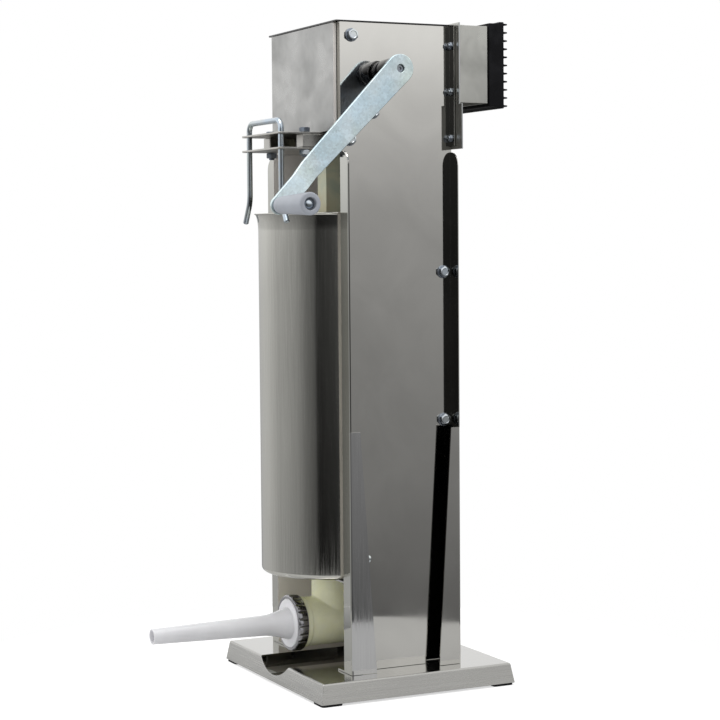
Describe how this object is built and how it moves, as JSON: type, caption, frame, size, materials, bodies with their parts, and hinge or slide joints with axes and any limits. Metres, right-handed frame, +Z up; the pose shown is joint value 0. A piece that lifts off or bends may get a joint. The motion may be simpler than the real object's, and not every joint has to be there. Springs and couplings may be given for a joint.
{
  "type": "vertical hand-cranked sausage stuffer",
  "caption": "Upright sausage stuffer: steel cylinder in a folded column, rack-and-pinion crank above a piston, funnel in front, splayed base tray and a ribbed rear foot.",
  "frame": {"origin": "on the ground, under the middle of the overall box at rest", "axes": "+Z up along the column, -Y the way the funnel points, +X the crank side"},
  "size_m": [0.311, 0.352, 0.6535],
  "materials": {
    "polished_steel": "mirror-polished stainless sheet",
    "brushed_steel": "fine brushed stainless sheet",
    "zinc_plate": "bright zinc-plated steel with a faint spangle",
    "yellow_zinc": "yellow-passivated zinc plate",
    "dark_steel": "dark polished steel, oiled",
    "cream_plastic": "cream, slightly translucent moulding",
    "white_plastic": "white food-grade moulding",
    "grey_plastic": "grey moulded grip, satin",
    "black_rubber": "black moulded rubber, matte"
  },
  "bodies": {
    "stand": {"back_high_bolt_left": "zinc_plate", "back_high_bolt_right": "zinc_plate", "back_low_bolt_left": "zinc_plate", "back_low_bolt_right": "zinc_plate", "back_panel": "polished_steel", "base_foot_front_left": "black_rubber", "base_foot_front_right": "black_rubber", "base_foot_rear_left": "black_rubber", "base_foot_rear_right": "black_rubber", "base_screw_front_left": "zinc_plate", "base_screw_front_right": "zinc_plate", "base_screw_rear_left": "zinc_plate", "base_screw_rear_right": "zinc_plate", "base_tray": "brushed_steel", "cylinder_shelf": "brushed_steel", "guide_bracket": "brushed_steel", "head_front_cover": "brushed_steel", "head_lid": "brushed_steel", "lid_bolt_left": "zinc_plate", "lid_bolt_right": "zinc_plate", "lower_plate_bolt_left": "zinc_plate", "lower_plate_bolt_right": "zinc_plate", "meat_cylinder": "brushed_steel", "outlet_body": "cream_plastic", "rack_guide": "white_plastic", "rear_bracket": "polished_steel", "rear_foot_pad": "black_rubber", "shaft_bush_left": "dark_steel", "shaft_bush_right": "dark_steel", "shelf_rivet_left": "zinc_plate", "shelf_rivet_right": "zinc_plate", "side_panel_left": "polished_steel", "side_panel_right": "polished_steel", "upper_plate_bolt_left": "zinc_plate", "upper_plate_bolt_right": "zinc_plate", "yoke_bolt_left": "zinc_plate", "yoke_bolt_right": "zinc_plate", "yoke_lower_plate": "brushed_steel", "yoke_nut_left": "zinc_plate", "yoke_nut_right": "zinc_plate", "yoke_spacer_left": "brushed_steel", "yoke_spacer_right": "brushed_steel", "yoke_upper_plate": "brushed_steel"},
    "press": {"rack": "yellow_zinc", "piston": "white_plastic", "piston_seal": "black_rubber", "piston_bolt": "zinc_plate"},
    "crank": {"crank_shaft": "dark_steel", "pinion": "dark_steel", "pinion_pin": "dark_steel", "shaft_collar": "dark_steel", "crank_arm": "zinc_plate", "crank_screw": "zinc_plate", "handle_bolt": "zinc_plate", "handle_nut": "zinc_plate"},
    "grip": {"handle_grip": "grey_plastic"},
    "pin": {"lock_pin": "zinc_plate"},
    "spout": {"funnel": "white_plastic"},
    "nut": {"ring_nut": "dark_steel"}
  },
  "joints": [
    {"name": "rack_slide", "type": "slide", "parent": "stand", "child": "press", "axis": [0, 0, 1], "range_m": [0, 0.372]},
    {"name": "crank_turn", "type": "hinge", "parent": "stand", "child": "crank", "pos_m": [-0.0362, 0.03715, 0.6005], "axis": [-1, 0, 0], "range_deg": [0, 2035]},
    {"name": "grip_spin", "type": "hinge", "parent": "crank", "child": "grip", "pos_m": [0.0887, -0.09075, 0.4717], "axis": [1, 0, 0], "continuous": true},
    {"name": "lock_pin_lift", "type": "slide", "parent": "stand", "child": "pin", "axis": [0, 0, 1], "range_m": [-0.003, 0.044]},
    {"name": "funnel_slide", "type": "slide", "parent": "stand", "child": "spout", "axis": [0, -1, 0], "range_m": [0, 0.009]},
    {"name": "ring_turn", "type": "hinge", "parent": "spout", "child": "nut", "pos_m": [-0.0362, -0.03215, 0.0588], "axis": [0, -1, 0], "range_deg": [0, 1085]}
  ],
  "couplings": [
    {"joint": "crank_turn", "follows": "rack_slide", "rad_per_m": 95.238},
    {"joint": "ring_turn", "follows": "funnel_slide", "rad_per_m": 2094.4}
  ]
}
